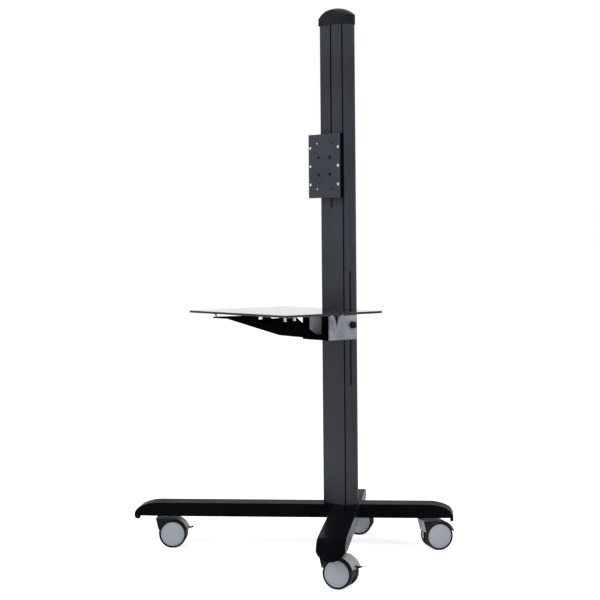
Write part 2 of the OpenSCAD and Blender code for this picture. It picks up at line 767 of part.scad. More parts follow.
module plate_bracket() {
    back = front_y - loose;
    low_z = plate_z - bracket_h / 2;
    high_z = plate_z + bracket_h / 2;
    color("#26282c") placed() difference() {
        union() {
            span([-bracket_w / 2, bracket_y, low_z], [bracket_w / 2, back, high_z]);
            span([-bracket_front_w / 2, bracket_y, low_z],
                 [bracket_front_w / 2, bracket_y + bracket_t, high_z]);
        }
        span([-bracket_w / 2 + bracket_t, bracket_y + bracket_t, low_z - cut],
             [bracket_w / 2 - bracket_t, back - bracket_t, high_z + cut]);
        for (x = [-1, 1], z = [-1, 1]) {
            rod_y([x * vesa / 2, plate_z + z * vesa / 2], vesa_r,
                  bracket_y - cut, bracket_y + bracket_t + cut);
            rod_y([x * plate_screw, plate_z + z * plate_screw], plate_screw_r + fit,
                  bracket_y - cut, bracket_y + bracket_t + cut);
        }
        for (z = [-1, 1])
            rod_y([0, plate_z + z * slot_bolt_z], slot_bolt_r + loose, back - bracket_t - cut, back + cut);
    }
}

module plate_screws() {
    color("#1b1c1f") placed() for (x = [-1, 1], z = [-1, 1])
        translate([x * plate_screw, plate_y, plate_z + z * plate_screw]) rotate([-90, 0, 0])
            bolt(plate_screw_r, plate_t + bracket_t + plate_t);
}

module slot_bolts() {
    seat = front_y - loose - bracket_t;
    color("#8d9096") placed() for (z = [-1, 1])
        translate([0, seat, plate_z + z * slot_bolt_z]) rotate([-90, 0, 0]) bolt(slot_bolt_r, slot_bolt_l);
}

module slot_nut_bar() {
    near = front_y + column_t + loose;
    color("#8d9096") placed() difference() {
        span([-2 * front_slot_w, near, plate_z - slot_bolt_z - 2 * front_slot_w],
             [2 * front_slot_w, near + nut_t, plate_z + slot_bolt_z + 2 * front_slot_w]);
        for (z = [-1, 1])
            rod_y([0, plate_z + z * slot_bolt_z], slot_bolt_r + fit, near - cut, near + nut_t + cut);
    }
}

// Shelf and the clamp that slides on the column
module shelf_glass() {
    x = glass_w / 2 - glass_round;
    y = [glass_front_y + glass_round, glass_back_y - glass_round];
    color([0.1, 0.13, 0.14, 0.6]) placed() translate([0, 0, glass_low_z]) linear_extrude(height = glass_t) {
        translate([-glass_w / 2, y[0]]) square([glass_w, y[1] - y[0]]);
        translate([-x, glass_front_y]) square([2 * x, glass_d]);
        for (sx = [-1, 1], sy = y) translate([sx * x, sy]) circle(r = glass_round);
    }
}

module clamp_outline(inset) {
    x = clamp_out_x - inset;
    y = clamp_front_y + inset;
    r = clamp_round - inset;
    translate([-x, y + r]) square([2 * x, clamp_back_y - y - r + (inset > 0 ? cut : 0)]);
    translate([-x + r, y]) square([2 * (x - r), r + cut]);
    for (side = [-1, 1]) translate([side * (x - r), y + r]) circle(r = r);
}

module shelf_clamp() {
    notch_y = front_y - notch_out;
    color("#a6a7b2") placed() difference() {
        translate([0, 0, clamp_low_z]) linear_extrude(height = clamp_h) difference() {
            clamp_outline(0);
            clamp_outline(clamp_t);
        }
        rotate([90, 0, 90]) linear_extrude(height = 4 * clamp_out_x, center = true)
            polygon([[notch_y - notch_w / 2, clamp_top_z + cut], [notch_y, clamp_top_z - notch_h],
                     [notch_y + notch_w / 2, clamp_top_z + cut]]);
        rod_x([knob_y, knob_z], slot_bolt_r + loose, -clamp_out_x - cut, clamp_out_x + cut);
        for (p = tray_bolt_places)
            rod_y(p, slot_bolt_r + fit, clamp_front_y - cut, clamp_front_y + clamp_t + cut);
    }
}

// Places [x, z] of the bolts through the tray's ears
ear_mid_x = (tray_back_half + clamp_out_x - clamp_round / 2) / 2;
tray_bolt_places = [for (x = [-1, 1], share = tray_bolt_shares)
    [x * ear_mid_x, clamp_low_z + share * clamp_h]];

module glass_posts() {
    side = clamp_in_x + clamp_t / 2;
    front = clamp_front_y + clamp_t / 2;
    color("#dfe2e6") placed() {
        for (x = [-1, 1], y = [glass_back_y - 2 * post_r, clamp_front_y + clamp_round])
            translate([x * side, y, clamp_top_z]) cylinder(r = post_r, h = post_h);
        translate([0, front, clamp_top_z]) cylinder(r = post_r, h = post_h);
    }
}

function tray_half(y) = tray_back_half
    + (tray_front_half - tray_back_half) * (tray_back_y - y) / (tray_back_y - tray_front_y);
module tray_plan(grow, from, to) {
    polygon([[-tray_half(from) - grow, from], [tray_half(from) + grow, from],
             [tray_half(to) + grow, to], [-tray_half(to) - grow, to]]);
}
module across(points) {
    rotate([90, 0, 90]) linear_extrude(height = glass_w, center = true) polygon(points);
}

module at_tray_wall() {
    translate([tray_front_half, tray_front_y, 0]) rotate([0, 0, tray_turn]) children();
}

module shelf_tray() {
    function y_at(share) = tray_front_y + share * (tray_back_y - tray_front_y);
    wall_grow = tray_t / sin(tray_turn);
    lip_y = tray_front_y - tray_t;
    past_y = clamp_front_y + cut;
    color("#08090a") placed() {
        difference() {
            intersection() {
                linear_extrude(height = glass_z) tray_plan(wall_grow, lip_y, clamp_front_y);
                across([[lip_y, wall_front_low], [y_at(front_share), wall_front_low],
                        [y_at(knee_share), wall_knee_low], [tray_back_y, wall_back_low],
                        [past_y, wall_back_low], [past_y, wall_back_low + tray_front_h],
                        [y_at(foot_share), wall_back_low + 2 * tray_front_h],
                        [y_at(fall_share), (wall_knee_low + tray_top_z) / 2],
                        [y_at(level_share), tray_top_z], [lip_y, tray_top_z]]);
            }
            intersection() {
                linear_extrude(height = glass_z) tray_plan(0, tray_front_y, past_y);
                across([[tray_front_y, wall_front_low + tray_t], [y_at(front_share), wall_front_low + tray_t],
                        [y_at(knee_share), wall_knee_low + tray_t], [tray_back_y, wall_back_low + tray_t],
                        [past_y, wall_back_low + tray_t], [past_y, glass_low_z],
                        [tray_front_y, glass_low_z]]);
            }
        }
        difference() {
            union() {
                both_sides() span([tray_back_half - tray_t, tray_back_y, clamp_low_z],
                                  [clamp_out_x, clamp_front_y, clamp_top_z]);
                span([-tray_back_half, tray_back_y, clamp_low_z],
                     [tray_back_half, clamp_front_y, clamp_low_z + 4 * tray_front_h]);
            }
            for (p = tray_bolt_places) rod_y(p, slot_bolt_r + loose, tray_back_y - cut, clamp_front_y + cut);
        }
    }
}

module glass_rests() {
    color("#e3e6ea") placed() both_sides() {
        for (share = rest_shares) at_tray_wall()
            span([share * tray_l, -tray_t - rest_t, glass_low_z - rest_h],
                 [share * tray_l + rest_l, -tray_t, glass_low_z]);
        span([tray_front_half - rest_l, tray_front_y - tray_t, tray_top_z],
             [tray_front_half, tray_front_y - tray_t + rest_l, glass_low_z]);
    }
}

module tray_bolts() {
    color("#1b1c1f") placed() for (p = tray_bolt_places)
        translate([p[0], tray_back_y, p[1]]) rotate([-90, 0, 0]) bolt(slot_bolt_r, tray_t + clamp_t);
}

// A knob with eight finger flutes and its stud, pointing to the column's middle
module clamp_knob() {
    face = clamp_out_x + loose;
    inner = side_x - column_t - loose - 2 * nut_t;
    difference() {
        rod_x([knob_y, knob_z], knob_r, face, face + knob_t);
        for (i = [0:7]) translate([0, knob_y, knob_z]) rotate([i * 45, 0, 0])
            rod_x([knob_r * flute_share, 0], knob_r / 4, face - cut, face + knob_t + cut);
    }
    rod_x([knob_y, knob_z], slot_bolt_r, inner, face + cut);
}
module right_knob() { color("#0d0e10") placed() clamp_knob(); }
module left_knob() { color("#0d0e10") placed() mirror([1, 0, 0]) clamp_knob(); }

module knob_nut_plates() {
    wall = side_x - column_t - loose;
    color("#8d9096") placed() both_sides() difference() {
        span([wall - nut_t, knob_y - side_slot_w, knob_z - 2 * side_slot_w],
             [wall, knob_y + side_slot_w, knob_z + 2 * side_slot_w]);
        rod_x([knob_y, knob_z], slot_bolt_r + fit, wall - nut_t - cut, wall + cut);
    }
}

column_extrusion();
column_cap();
rear_cable_cover();
column_bolts();
base_crossbar();
base_front_leg();
base_back_leg();
hub_plate();
leg_bolts();
caster_stems();
front_left_hood();
front_left_axle();
front_left_wheels();
front_left_tyres();
front_right_hood();
front_right_axle();
front_right_wheels();
front_right_tyres();
back_left_hood();
back_left_axle();
back_left_wheels();
back_left_tyres();
back_right_hood();
back_right_axle();
back_right_wheels();
back_right_tyres();
front_left_brake_lever();
front_right_brake_lever();
screen_plate();
plate_inserts();
plate_bracket();
plate_screws();
slot_bolts();
slot_nut_bar();
shelf_glass();
shelf_tray();
glass_rests();
glass_posts();
shelf_clamp();
tray_bolts();
left_knob();
right_knob();
knob_nut_plates();
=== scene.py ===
import json
import math

import bmesh
import bpy
from mathutils import Matrix, Vector


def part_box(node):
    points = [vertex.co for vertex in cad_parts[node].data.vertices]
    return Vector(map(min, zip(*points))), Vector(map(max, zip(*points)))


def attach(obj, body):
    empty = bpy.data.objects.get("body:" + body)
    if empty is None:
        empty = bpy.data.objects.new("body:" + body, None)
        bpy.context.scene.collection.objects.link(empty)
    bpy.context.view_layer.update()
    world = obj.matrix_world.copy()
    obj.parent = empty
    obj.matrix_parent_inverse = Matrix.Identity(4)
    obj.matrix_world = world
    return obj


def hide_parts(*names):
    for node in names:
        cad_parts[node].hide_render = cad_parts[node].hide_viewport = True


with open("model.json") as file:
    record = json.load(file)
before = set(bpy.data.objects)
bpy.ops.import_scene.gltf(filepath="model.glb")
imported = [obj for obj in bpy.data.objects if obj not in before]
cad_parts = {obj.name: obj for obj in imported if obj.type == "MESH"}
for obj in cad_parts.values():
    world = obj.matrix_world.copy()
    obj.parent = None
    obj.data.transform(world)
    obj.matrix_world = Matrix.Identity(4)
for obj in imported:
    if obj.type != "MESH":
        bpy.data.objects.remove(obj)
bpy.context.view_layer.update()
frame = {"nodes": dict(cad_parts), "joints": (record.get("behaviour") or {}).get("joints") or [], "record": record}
record = frame["record"]
bodyOfNode = {node: body for body, nodes in record["behaviour"]["bodies"].items() for node in nodes}
slotOfNode = {entry["node"]: entry["material_slot"] for entry in record["subparts"]}
joints = {joint["name"]: joint for joint in frame["joints"]}
casterNames = ["front_left", "front_right", "back_left", "back_right"]
mm = 0.001
columnLow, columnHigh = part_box("column_extrusion")
columnFoot = Vector(((columnLow.x + columnHigh.x) / 2, (columnLow.y + columnHigh.y) / 2, 0))
print("frame loaded with", len(frame["nodes"]), "nodes")


# Finishes

def linearColor(hexText):
    channels = [int(hexText[i:i + 2], 16) / 255 for i in (1, 3, 5)]
    return tuple(c / 12.92 if c <= 0.04045 else ((c + 0.055) / 1.055) ** 2.4 for c in channels) + (1.0,)


def addNode(tree, kind, settings=None, links=None):
    node = tree.nodes.new(kind)
    for name, value in (settings or {}).items():
        if name in node.inputs:
            node.inputs[name].default_value = value
        else:
            setattr(node, name, value)
    for name, (source, output) in (links or {}).items():
        tree.links.new(source.outputs[output], node.inputs[name])
    return node


def startFinish(name, shaderSettings):
    material = bpy.data.materials.new(name)
    material.use_nodes = True
    tree = material.node_tree
    tree.nodes.clear()
    shader = addNode(tree, "ShaderNodeBsdfPrincipled", shaderSettings)
    addNode(tree, "ShaderNodeOutputMaterial", links={"Surface": (shader, "BSDF")})
    place = addNode(tree, "ShaderNodeTexCoord")
    return material, tree, shader, place


def blendColors(tree, low, high, source, output, fromMin, fromMax):
    # A pattern's value runs from the low colour at fromMin to the high one at fromMax
    spread = addNode(tree, "ShaderNodeMapRange", {"From Min": fromMin, "From Max": fromMax},
                     {"Value": (source, output)})
    mix = addNode(tree, "ShaderNodeMix", {"data_type": "RGBA"}, {"Factor": (spread, "Result")})
    mix.inputs[6].default_value = linearColor(low)
    mix.inputs[7].default_value = linearColor(high)
    return mix


def joinColor(tree, shader, mix):
    tree.links.new(mix.outputs[2], shader.inputs["Base Color"])


def joinRoughness(tree, shader, source, output, low, high):
    # Most of a noise lies between 0.3 and 0.7
    span = addNode(tree, "ShaderNodeMapRange",
                   {"From Min": 0.3, "From Max": 0.7, "To Min": low, "To Max": high},
                   {"Value": (source, output)})
    tree.links.new(span.outputs["Result"], shader.inputs["Roughness"])


def joinBump(tree, shader, source, output, depth):
    bump = addNode(tree, "ShaderNodeBump", {"Distance": depth}, {"Height": (source, output)})
    tree.links.new(bump.outputs["Normal"], shader.inputs["Normal"])


anodised = {
    "dark": "#161a20", "pale": "#262b32", "metallic": 0.35, "shine": 0.3, "roughness": (0.36, 0.48),
    "dieLine": 4.0 * mm, "lineLength": 900 * mm, "lineDepth": 0.02 * mm, "lineShare": 0.6, "cloud": 333 * mm,
}


def anodisedAluminium():
    # Extruded and anodised graphite grey: a satin metal with die lines up the column, drawn 4 mm apart to show
    material, tree, shader, place = startFinish("anodised aluminium, graphite", {
        "Metallic": anodised["metallic"], "Specular IOR Level": anodised["shine"]})
    stretch = addNode(tree, "ShaderNodeMapping", links={"Vector": (place, "Object")})
    stretch.inputs["Scale"].default_value = [
        1 / anodised[size] for size in ("dieLine", "dieLine", "lineLength")]
    lines = addNode(tree, "ShaderNodeTexNoise", {"Scale": 1.0, "Detail": 3.0, "Roughness": 0.6},
                    {"Vector": (stretch, "Vector")})
    clouds = addNode(tree, "ShaderNodeTexNoise", {"Scale": 1 / anodised["cloud"], "Detail": 2.0},
                     {"Vector": (place, "Object")})
    both = addNode(tree, "ShaderNodeMath", {"operation": "MULTIPLY_ADD"},
                   {0: (lines, "Fac"), 2: (clouds, "Fac")})
    both.inputs[1].default_value = anodised["lineShare"]
    joinColor(tree, shader, blendColors(tree, anodised["dark"], anodised["pale"], both, "Value", 0.6, 1.0))
    joinRoughness(tree, shader, lines, "Fac", *anodised["roughness"])
    joinBump(tree, shader, lines, "Fac", anodised["lineDepth"])
    return material


grainShare = 0.5
driftSize = 111 * mm


def grainedFinish(name, low, high, grain, depth, roughness, metallic=0.0, shine=0.5):
    # Coats and mouldings: fine bumps of a real size, and a slow drift of tone and gloss over the piece
    material, tree, shader, place = startFinish(name, {"Metallic": metallic, "Specular IOR Level": shine})
    grains = addNode(tree, "ShaderNodeTexNoise", {"Scale": 1 / grain, "Detail": 2.0},
                     {"Vector": (place, "Object")})
    drift = addNode(tree, "ShaderNodeTexNoise", {"Scale": 1 / driftSize, "Detail": 3.0},
                    {"Vector": (place, "Object")})
    both = addNode(tree, "ShaderNodeMath", {"operation": "MULTIPLY_ADD"},
                   {0: (grains, "Fac"), 2: (drift, "Fac")})
    both.inputs[1].default_value = grainShare
    joinColor(tree, shader, blendColors(tree, low, high, both, "Value", 0.5, 1.0))
    joinRoughness(tree, shader, drift, "Fac", *roughness)
    joinBump(tree, shader, grains, "Fac", depth)
    return material


clearGlass = {"tint": "#a0a4aa", "ior": 1.52, "smudge": 167 * mm, "roughness": (0.0, 0.06)}


def temperedGlass():
    # Float glass, slightly grey: clear, with faint smudges that show only in its mirror
    material, tree, shader, place = startFinish("tempered float glass", {
        "Base Color": linearColor(clearGlass["tint"]), "IOR": clearGlass["ior"], "Transmission Weight": 1.0})
    smudges = addNode(tree, "ShaderNodeTexNoise", {"Scale": 1 / clearGlass["smudge"], "Detail": 4.0},
                      {"Vector": (place, "Object")})
    joinRoughness(tree, shader, smudges, "Fac", *clearGlass["roughness"])
    return material


finishes = {
    "graphite": anodisedAluminium(),
    # Moulded ABS, fine spark eroded texture
    "capPlastic": grainedFinish("moulded ABS, graphite", "#0f1216", "#171a1f", 0.9 * mm, 0.04 * mm,
                                (0.3, 0.42), shine=0.06),
    # Extruded PVC: matt, with next to no grain
    "coverPlastic": grainedFinish("extruded PVC, dark grey", "#26292e", "#2e3136", 1.2 * mm, 0.02 * mm,
                                  (0.4, 0.55)),
    # Black powder coat: the slight orange peel of the cured powder, and little shine
    "blackCoat": grainedFinish("black powder coat", "#050608", "#0b0c0f", 2.2 * mm, 0.02 * mm,
                               (0.2, 0.3), shine=0.0025),
    # Matt black coat of the tray: its underside shows no floor, even along the sheet. The same black, put on the
    # plate's bent flanges, is painted shade
    "mattBlackCoat": grainedFinish("matt black powder coat", "#040405", "#09090b", 2.2 * mm, 0.03 * mm,
                                   (0.4, 0.55), shine=0.0),
    # Slate powder coat: a fine even texture
    "plateCoat": grainedFinish("slate powder coat", "#25282f", "#2f333c", 1.6 * mm, 0.04 * mm,
                               (0.42, 0.55), shine=0.15),
    # Blasted and clear anodised aluminium: a pale grey, with its sparkle painted into the colour as dark and pale
    # grains, drawn coarse enough to show
    "blastedAluminium": grainedFinish("blasted aluminium", "#3e424c", "#a4a8b2", 3.2 * mm, 0.1 * mm,
                                      (0.4, 0.55), metallic=0.35),
    # Hot rolled and pickled steel of the hub, bare where no one looks
    "bareSteel": grainedFinish("bare rolled steel", "#63666b", "#7b7e83", 2.5 * mm, 0.02 * mm,
                               (0.35, 0.5), metallic=0.9),
    # Zinc plated steel: satin and a little blue
    "zincSteel": grainedFinish("zinc plated steel", "#9b9da2", "#b8bac0", 1.2 * mm, 0.01 * mm,
                               (0.25, 0.4), metallic=1.0),
    # Bright zinc of the pressed inserts: small and nearly white
    "brightZinc": grainedFinish("bright zinc plate", "#e3e6ea", "#f6f8fa", 1.5 * mm, 0.005 * mm,
                                (0.2, 0.3), metallic=0.4),
    # Black oxide on socket screws
    "blackOxide": grainedFinish("black oxide steel", "#060607", "#0d0e10", 1.0 * mm, 0.01 * mm,
                                (0.35, 0.5), shine=0.05),
    # Milky silicone of the glass rests
    "clearRest": grainedFinish("clear silicone", "#dfe3e6", "#f0f2f4", 2.0 * mm, 0.01 * mm, (0.15, 0.25)),
    # Moulded nylon: knobs, levers and bracket covers. The same black is painted shade on the casters' webs, under
    # the hoods
    "blackNylon": grainedFinish("moulded black nylon", "#060708", "#0f1013", 1.0 * mm, 0.04 * mm,
                                (0.4, 0.55), shine=0.08),
    # Light grey nylon of the caster hoods
    "hoodPlastic": grainedFinish("moulded nylon, light grey", "#6f7375", "#8b8f91", 1.4 * mm, 0.04 * mm,
                                 (0.42, 0.55)),
    # Silver paint on the discs' ABS
    "discPlastic": grainedFinish("silver painted ABS", "#7d828b", "#888d96", 1.1 * mm, 0.03 * mm,
                                 (0.38, 0.5), metallic=0.15),
    # Polyurethane tyre: dull and dark
    "tyreRubber": grainedFinish("moulded polyurethane tyre", "#08090a", "#121314", 1.6 * mm, 0.05 * mm,
                                (0.5, 0.65), shine=0.1),
    "glass": temperedGlass(),
    # The ground and polished edge of the pane, painted an opaque dark grey: painted shade in place of the dark one
    # sees looking into the depth of the pane
    "glassEdge": grainedFinish("polished edge of float glass", "#15181a", "#24282a", 3.0 * mm, 0.005 * mm,
                               (0.15, 0.25), shine=0.2),
}
finishOfSlot = {
    "graphite_aluminium": "graphite", "dark_plastic": "coverPlastic", "cap_plastic": "capPlastic",
    "black_steel": "blackCoat", "bare_steel": "bareSteel", "zinc_steel": "zincSteel",
    "slate_steel": "plateCoat", "bright_zinc": "brightZinc", "black_screws": "blackOxide",
    "clear_glass": "glass", "clear_plastic": "clearRest", "silver_aluminium": "blastedAluminium",
    "black_plastic": "blackNylon", "grey_plastic": "hoodPlastic", "disc_plastic": "discPlastic",
    "tread_rubber": "tyreRubber",
}
for nodeName, nodeObject in frame["nodes"].items():
    nodeObject.data.materials.clear()
    nodeObject.data.materials.append(finishes[finishOfSlot[slotOfNode[nodeName]]])
print("finishes made:", len(finishes))


# Pieces

sharpAngle = math.radians(32)
weldGap = 0.001 * mm


def pieceName(node, ending=""):
    # A node's name without its low lines, every word with a capital
    return node.title().replace("_", "") + ending


def finishPiece(name, bm, finish, weld=True):
    if weld:
        bmesh.ops.remove_doubles(bm, verts=bm.verts, dist=weldGap)
    mesh = bpy.data.meshes.new(name)
    bm.to_mesh(mesh)
    bm.free()
    for polygon in mesh.polygons:
        polygon.use_smooth = True
    mesh.set_sharp_from_angle(angle=sharpAngle)
    mesh.materials.append(finishes[finish])
    piece = bpy.data.objects.new(name, mesh)
    bpy.context.scene.collection.objects.link(piece)
    return piece


def takePlace(piece, node):
    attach(piece, bodyOfNode[node])
    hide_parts(node)


softening = {"cadWeld": 0.002 * mm, "flatWithin": math.radians(0.6), "sharpOver": math.radians(35), "steps": 2}


def softenedCopy(nodeName, width):
    # The CAD piece again, with its sharp edges broken as a press brake, a mould or a file leaves them
    bm = bmesh.new()
    bm.from_mesh(frame["nodes"][nodeName].data)
    bmesh.ops.remove_doubles(bm, verts=bm.verts, dist=softening["cadWeld"])
    bmesh.ops.dissolve_limit(bm, angle_limit=softening["flatWithin"], verts=bm.verts, edges=bm.edges)
    sharp = [edge for edge in bm.edges if len(edge.link_faces) == 2
             and edge.calc_face_angle(0) > softening["sharpOver"]]
    bmesh.ops.bevel(bm, geom=sharp, offset=width, segments=softening["steps"], profile=0.5,
                    affect="EDGES", material=-1, clamp_overlap=True)
    piece = finishPiece(pieceName(nodeName, "Soft"), bm, finishOfSlot[slotOfNode[nodeName]])
    # Flat faces keep their own direction, so only the softened edges shade from one to the next
    weighted = piece.modifiers.new("flatFaces", "WEIGHTED_NORMAL")
    weighted.keep_sharp = True
    takePlace(piece, nodeName)
    return piece


# How wide each edge is softened
softEdges = {
    "base_crossbar": 1.6 * mm, "base_front_leg": 1.6 * mm, "base_back_leg": 1.6 * mm,
    "column_cap": 1.0 * mm, "screen_plate": 0.7 * mm, "plate_bracket": 0.8 * mm, "shelf_clamp": 1.2 * mm,
    "shelf_tray": 0.7 * mm, "shelf_glass": 0.9 * mm, "front_left_brake_lever": 1.0 * mm,
    "front_right_brake_lever": 1.0 * mm, "left_knob": 0.9 * mm, "right_knob": 0.9 * mm,
    "front_left_hood": 1.6 * mm, "front_right_hood": 1.6 * mm, "back_left_hood": 1.6 * mm,
    "back_right_hood": 1.6 * mm, "rear_cable_cover": 0.4 * mm,
}
softPieces = {nodeName: softenedCopy(nodeName, width) for nodeName, width in softEdges.items()}
print("softened pieces:", len(softPieces))


def paintFaces(nodeName, finish, chosen):
    # A second finish on the chosen faces of a softened piece
    mesh = softPieces[nodeName].data
    mesh.materials.append(finishes[finish])
    for polygon in mesh.polygons:
        polygon.material_index = int(chosen(polygon))


edgeTilt = 0.5
softPieces["shelf_tray"].data.materials[0] = finishes["mattBlackCoat"]
# The plate's bent flanges and narrow edges are painted matt black: painted shade, the shade they lie in. The
# pane's narrow sides get the painted shade of its edge
paintFaces("screen_plate", "mattBlackCoat", lambda polygon: abs(polygon.normal.y) < edgeTilt)
paintFaces("shelf_glass", "glassEdge", lambda polygon: abs(polygon.normal.z) < edgeTilt)


def jointPlace(jointName):
    # From a frame in which the joint turns about Y and the caster trails along X to its resting place
    joint = joints[jointName]
    side = Vector(joint["axis"]).normalized()
    ahead = Vector((side.y, -side.x, 0))
    place = Matrix((ahead, side, Vector((0, 0, 1)))).transposed().to_4x4()
    return Matrix.Translation(Vector(joint["pos_m"])) @ place


hoodShell = {"innerRadius": 52.2 * mm}


def paintWeb(name):
    # Inside the pale hood, the faces between the wheels are painted black: painted shade under the hood
    toCaster = jointPlace(name + "_roll").inverted()

    def insideShell(polygon):
        center = toCaster @ polygon.center
        return math.hypot(center.x, center.z) < hoodShell["innerRadius"]

    paintFaces(name + "_hood", "blackNylon", insideShell)


for casterName in casterNames:
    paintWeb(casterName)


def spunProfile(bm, points, steps):
    verts = [bm.verts.new((r, y, 0)) for r, y in points]
    edges = [bm.edges.new(pair) for pair in zip(verts, verts[1:])]
    bmesh.ops.spin(bm, geom=verts + edges, cent=(0, 0, 0), axis=(0, 1, 0), angle=math.tau, steps=steps,
                   use_merge=True)


wheelDisc = {
    # radius and distance from the caster's middle, in mm: back of the disc, rim, groove and crown
    "profile": [(0, 29.9), (5.1, 29.9), (5.1, 11.0), (20, 11.0), (20.6, 12.2), (40, 12.2), (40.6, 11.2),
                (42.6, 11.2), (43, 11.8), (43, 33.8), (42.4, 34.7), (41.4, 35.0), (38.2, 35.3), (37.7, 35.2),
                (37.2, 34.5), (36.6, 34.5), (36.1, 35.2), (35.4, 35.4), (28, 35.7), (18, 35.9), (8, 36.0),
                (0, 36.0)],
    "steps": 96,
}
tyreRing = {
    # the same for the tyre, with a fine groove round the middle of its tread
    "profile": [(43.05, 11.3), (46.2, 11.0), (48.0, 11.5), (49.3, 12.7), (50, 14.6), (50, 22.9), (49.7, 23.2),
                (49.7, 23.8), (50, 24.1), (50, 32.4), (49.3, 34.3), (48.0, 35.5), (46.2, 36.0), (43.05, 35.7),
                (43.05, 11.3)],
    "steps": 96,
}


def wheelPair(name, ending, node, ring, finish):
    bm = bmesh.new()
    spunProfile(bm, [(radius * mm, along * mm) for radius, along in ring["profile"]], ring["steps"])
    bmesh.ops.remove_doubles(bm, verts=bm.verts, dist=weldGap)
    bmesh.ops.recalc_face_normals(bm, faces=bm.faces)
    other = bmesh.ops.duplicate(bm, geom=bm.verts[:] + bm.edges[:] + bm.faces[:])["geom"]
    otherVerts = [item for item in other if isinstance(item, bmesh.types.BMVert)]
    otherFaces = [item for item in other if isinstance(item, bmesh.types.BMFace)]
    bmesh.ops.rotate(bm, verts=otherVerts, cent=(0, 0, 0), matrix=Matrix.Rotation(math.pi, 3, "Z"))
    bmesh.ops.recalc_face_normals(bm, faces=otherFaces)
    bmesh.ops.transform(bm, matrix=jointPlace(name + "_roll"), verts=bm.verts)
    takePlace(finishPiece(pieceName(name, ending), bm, finish), name + node)


for casterName in casterNames:
    wheelPair(casterName, "Discs", "_wheels", wheelDisc, "discPlastic")
    wheelPair(casterName, "Tyres", "_tyres", tyreRing, "tyreRubber")
print("wheels and tyres made")


def shapeLoop(verts, radius, along, hexagon):
    # A loop about the Y axis, at a radius and height; a hexagonal one is as wide across its flats
    for vert in verts:
        angle = math.atan2(vert.co.x, vert.co.z)
        reach = radius
        if hexagon:
            reach /= math.cos((angle + math.pi / 6) % (math.pi / 3) - math.pi / 6)
        vert.co = Vector((reach * math.sin(angle), along, reach * math.cos(angle)))


turnedSides = 24


def turnedPart(bm, place, loops):
    # loops: radius, height and whether hexagonal, all in mm, from one closed end to the other; the axis is Y
    before = set(bm.verts)
    ring = bmesh.ops.create_circle(bm, cap_ends=False, segments=turnedSides, radius=loops[0][0] * mm,
                                   matrix=Matrix.Rotation(math.pi / 2, 4, "X"))["verts"]
    edges = list({edge for vert in ring for edge in vert.link_edges})
    for i, (radius, along, hexagon) in enumerate(loops):
        if i:
            grown = bmesh.ops.extrude_edge_only(bm, edges=edges)["geom"]
            ring = [item for item in grown if isinstance(item, bmesh.types.BMVert)]
            edges = [item for item in grown if isinstance(item, bmesh.types.BMEdge)]
        shapeLoop(ring, radius * mm, along * mm, hexagon)
        if i in (0, len(loops) - 1):
            bmesh.ops.contextual_create(bm, geom=edges)
    mine = [vert for vert in bm.verts if vert not in before]
    bmesh.ops.recalc_face_normals(bm, faces=list({face for vert in mine for face in vert.link_faces}))
    bmesh.ops.transform(bm, matrix=place, verts=mine)


socketScrews = {
    # node: seats of the heads in mm from the column's foot, head and shank as radius and length, key as radius
    "plate_screws": {"seats": [(x, -70, 1377 + z) for x in (-30.5, 30.5) for z in (-30.5, 30.5)],
                     "head": (4.8, 3.9), "shank": (3.0, 8.0), "key": 2.0},
    "tray_bolts": {"seats": [(x * 49, -118.5, z) for x in (-1, 1) for z in (775, 826)],
                   "head": (4.8, 3.9), "shank": (3.0, 10.1), "key": 2.0},
}
# Shares of the head and its key: flat crown, shoulder, straight side and key hole; the chamfers are in mm
screwHead = {"crown": 0.72, "shoulder": (0.9, 0.86), "side": 0.5, "keyDepth": 0.65, "keyFoot": 0.98,
             "keyChamfer": (0.25, 0.15), "pointChamfer": 0.5}


def makeSocketScrews(node, size):
    bm = bmesh.new()
    headRadius, headHeight = size["head"]
    shankRadius, shankLength = size["shank"]
    key = size["key"]
    chamferOut, chamferDeep = screwHead["keyChamfer"]
    shoulderRadius, shoulderHeight = screwHead["shoulder"]
    point = screwHead["pointChamfer"]
    loops = [(key * screwHead["keyFoot"], -headHeight * (1 - screwHead["keyDepth"]), True),
             (key, -headHeight + chamferDeep, True), (key + chamferOut, -headHeight, True),
             (headRadius * screwHead["crown"], -headHeight, False),
             (headRadius * shoulderRadius, -headHeight * shoulderHeight, False),
             (headRadius, -headHeight * screwHead["side"], False), (headRadius, 0, False),
             (shankRadius, 0, False), (shankRadius, shankLength - point, False),
             (shankRadius - point, shankLength, False)]
    for seat in size["seats"]:
        turnedPart(bm, Matrix.Translation(columnFoot + Vector(seat) * mm), loops)
    takePlace(finishPiece(pieceName(node), bm, finishOfSlot[slotOfNode[node]], weld=False), node)


for nodeName, size in socketScrews.items():
    makeSocketScrews(nodeName, size)

casterStem = {
    # radius, height above the floor, whether hexagonal: thread, hexagon under the leg, neck, stem in the hood
    "loops": [(5.4, 162.7, False), (6.0, 162.1, False), (6.0, 143.0, False), (8.5, 143.0, False),
              (8.5, 124.0, False), (7.9, 123.4, False), (8.5, 122.8, False), (8.5, 107.8, False),
              (8.0, 107.35, False), (5.0, 107.3, False), (5.0, 76.6, False), (4.5, 76.0, False)],
}


def makeStems():
    bm = bmesh.new()
    upright = Matrix.Rotation(math.pi / 2, 4, "X")
    for name in casterNames:
        swivel = joints[name + "_swivel"]["pos_m"]
        turnedPart(bm, Matrix.Translation((swivel[0], swivel[1], 0)) @ upright, casterStem["loops"])
    takePlace(finishPiece("casterStems", bm, "zincSteel", weld=False), "caster_stems")


makeStems()
print("screws and stems made")

# In mm: three ribs across the pedal, which slopes up by "up" degrees
leverRibs = {"count": 3, "first": 8.5, "step": 3.2, "length": 17.2, "height": 1.8, "width": 1.3, "round": 0.3,
             "top": 2.0, "up": 12}


